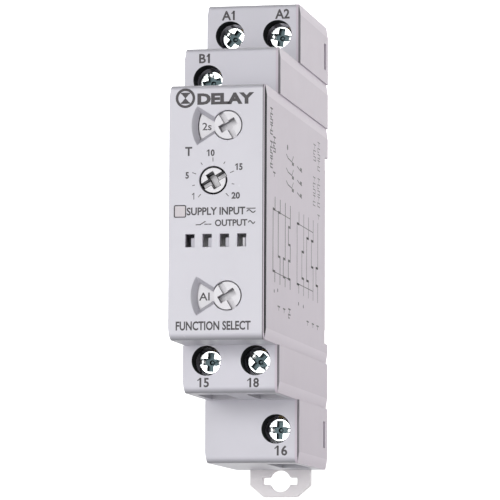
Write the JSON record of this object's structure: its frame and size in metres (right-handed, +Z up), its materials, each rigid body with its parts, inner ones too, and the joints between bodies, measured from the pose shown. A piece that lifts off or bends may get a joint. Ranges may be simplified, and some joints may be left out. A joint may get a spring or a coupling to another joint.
{
  "type": "din rail timer",
  "caption": "Narrow stepped timer module for a mounting rail, with windowed selector dials, a fine time trimmer and screw clamp terminals.",
  "frame": {"origin": "centre of the flat seat that rests on the front of the 35 mm rail", "axes": "+Y out of the back towards the wall, so the front faces -Y; +Z up; +X to the right seen from the front"},
  "size_m": [0.0176, 0.0602, 0.0896],
  "materials": {
    "casing_plastic": "satin moulded light grey",
    "cover_plastic": "satin moulded light grey, printed",
    "panel_plastic": "satin moulded light grey, printed",
    "clip_plastic": "translucent white",
    "spring_steel": "drawn wire",
    "dial_plastic": "white moulded, printed",
    "trimmer_plastic": "white moulded",
    "switch_plastic": "black moulded",
    "lens_plastic": "clear, slightly pink",
    "led_resin": "clear red resin",
    "board_laminate": "green solder mask",
    "black_plastic": "matte black",
    "capacitor_sleeve": "shrink sleeve",
    "film_case": "moulded case",
    "varistor_coat": "dipped coat",
    "resistor_coat": "dipped coat",
    "relay_plastic": "moulded",
    "copper_wire": "enamelled copper",
    "magnet_steel": "plated",
    "contact_brass": "stamped",
    "screw_zinc": "bright zinc plate",
    "clamp_steel": "zinc plate"
  },
  "bodies": {
    "case": {"housing": "casing_plastic", "side_cover": "cover_plastic", "front_panel": "panel_plastic", "clip_spring": "spring_steel", "range_switch_body": "switch_plastic", "function_switch_body": "switch_plastic", "trimmer_body": "switch_plastic", "status_lens": "lens_plastic", "status_led": "led_resin", "front_board": "board_laminate", "main_board": "board_laminate", "pin_header": "black_plastic", "supply_capacitor": "capacitor_sleeve", "film_capacitor": "film_case", "varistor": "varistor_coat", "bridge_rectifier": "black_plastic", "controller_chip": "black_plastic", "resistors": "resistor_coat", "relay_base": "black_plastic", "relay_case": "relay_plastic", "relay_bobbin": "relay_plastic", "relay_winding": "copper_wire", "relay_yoke": "magnet_steel", "relay_rest_contact": "contact_brass", "relay_work_contact": "contact_brass", "busbar_a1": "contact_brass", "busbar_a2": "contact_brass", "busbar_b1": "contact_brass", "busbar_15": "contact_brass", "busbar_18": "contact_brass", "busbar_16": "contact_brass"},
    "rail_clip": {"rail_clip": "clip_plastic"},
    "range_selector": {"range_dial": "dial_plastic"},
    "function_selector": {"function_dial": "dial_plastic"},
    "time_trimmer": {"trimmer_rotor": "trimmer_plastic"},
    "armature": {"relay_armature": "magnet_steel", "relay_blade": "contact_brass"},
    "screw_a1": {"terminal_screw_a1": "screw_zinc"},
    "clamp_a1": {"wire_clamp_a1": "clamp_steel"},
    "screw_a2": {"terminal_screw_a2": "screw_zinc"},
    "clamp_a2": {"wire_clamp_a2": "clamp_steel"},
    "screw_b1": {"terminal_screw_b1": "screw_zinc"},
    "clamp_b1": {"wire_clamp_b1": "clamp_steel"},
    "screw_15": {"terminal_screw_15": "screw_zinc"},
    "clamp_15": {"wire_clamp_15": "clamp_steel"},
    "screw_18": {"terminal_screw_18": "screw_zinc"},
    "clamp_18": {"wire_clamp_18": "clamp_steel"},
    "screw_16": {"terminal_screw_16": "screw_zinc"},
    "clamp_16": {"wire_clamp_16": "clamp_steel"}
  },
  "joints": [
    {"name": "clip_slide", "type": "slide", "parent": "case", "child": "rail_clip", "axis": [0, 0, -1], "range_m": [0, 0.0035], "stiffness_N_per_m": 900, "springref_m": -0.002, "deforming": ["clip_spring"]},
    {"name": "range_turn", "type": "hinge", "parent": "case", "child": "range_selector", "pos_m": [0.00175, -0.0575, 0.0163], "axis": [0, 1, 0], "range_deg": [0, 300]},
    {"name": "function_turn", "type": "hinge", "parent": "case", "child": "function_selector", "pos_m": [0.00175, -0.0575, -0.0138], "axis": [0, 1, 0], "range_deg": [0, 315]},
    {"name": "trimmer_turn", "type": "hinge", "parent": "case", "child": "time_trimmer", "pos_m": [-0.00077, -0.0575, 0.00657], "axis": [0, 1, 0], "range_deg": [-96, 178]},
    {"name": "armature_pivot", "type": "hinge", "parent": "case", "child": "armature", "pos_m": [-0.00085, -0.0168, 0.01725], "axis": [-1, 0, 0], "range_deg": [0, 4], "stiffness_Nm_per_rad": 0.02, "springref_deg": -5.73},
    {"name": "screw_turn_a1", "type": "hinge", "parent": "case", "child": "screw_a1", "pos_m": [-0.00445, -0.026, 0.03735], "axis": [0, 1, 0], "range_deg": [0, 3030]},
    {"name": "clamp_rise_a1", "type": "slide", "parent": "case", "child": "clamp_a1", "axis": [0, -1, 0], "range_m": [0, 0.0042]},
    {"name": "screw_turn_a2", "type": "hinge", "parent": "case", "child": "screw_a2", "pos_m": [0.00445, -0.026, 0.03735], "axis": [0, 1, 0], "range_deg": [0, 3030]},
    {"name": "clamp_rise_a2", "type": "slide", "parent": "case", "child": "clamp_a2", "axis": [0, -1, 0], "range_m": [0, 0.0042]},
    {"name": "screw_turn_b1", "type": "hinge", "parent": "case", "child": "screw_b1", "pos_m": [-0.00445, -0.0452, 0.02625], "axis": [0, 1, 0], "range_deg": [0, 3030]},
    {"name": "clamp_rise_b1", "type": "slide", "parent": "case", "child": "clamp_b1", "axis": [0, -1, 0], "range_m": [0, 0.0042]},
    {"name": "screw_turn_15", "type": "hinge", "parent": "case", "child": "screw_15", "pos_m": [-0.00445, -0.0452, -0.02425], "axis": [0, 1, 0], "range_deg": [0, 3030]},
    {"name": "clamp_rise_15", "type": "slide", "parent": "case", "child": "clamp_15", "axis": [0, -1, 0], "range_m": [0, 0.0042]},
    {"name": "screw_turn_18", "type": "hinge", "parent": "case", "child": "screw_18", "pos_m": [0.00445, -0.0452, -0.02425], "axis": [0, 1, 0], "range_deg": [0, 3030]},
    {"name": "clamp_rise_18", "type": "slide", "parent": "case", "child": "clamp_18", "axis": [0, -1, 0], "range_m": [0, 0.0042]},
    {"name": "screw_turn_16", "type": "hinge", "parent": "case", "child": "screw_16", "pos_m": [0.00445, -0.026, -0.03535], "axis": [0, 1, 0], "range_deg": [0, 3030]},
    {"name": "clamp_rise_16", "type": "slide", "parent": "case", "child": "clamp_16", "axis": [0, -1, 0], "range_m": [0, 0.0042]}
  ],
  "couplings": [
    {"joint": "screw_turn_a1", "follows": "clamp_rise_a1", "rad_per_m": 12566},
    {"joint": "screw_turn_a2", "follows": "clamp_rise_a2", "rad_per_m": 12566},
    {"joint": "screw_turn_b1", "follows": "clamp_rise_b1", "rad_per_m": 12566},
    {"joint": "screw_turn_15", "follows": "clamp_rise_15", "rad_per_m": 12566},
    {"joint": "screw_turn_18", "follows": "clamp_rise_18", "rad_per_m": 12566},
    {"joint": "screw_turn_16", "follows": "clamp_rise_16", "rad_per_m": 12566}
  ]
}
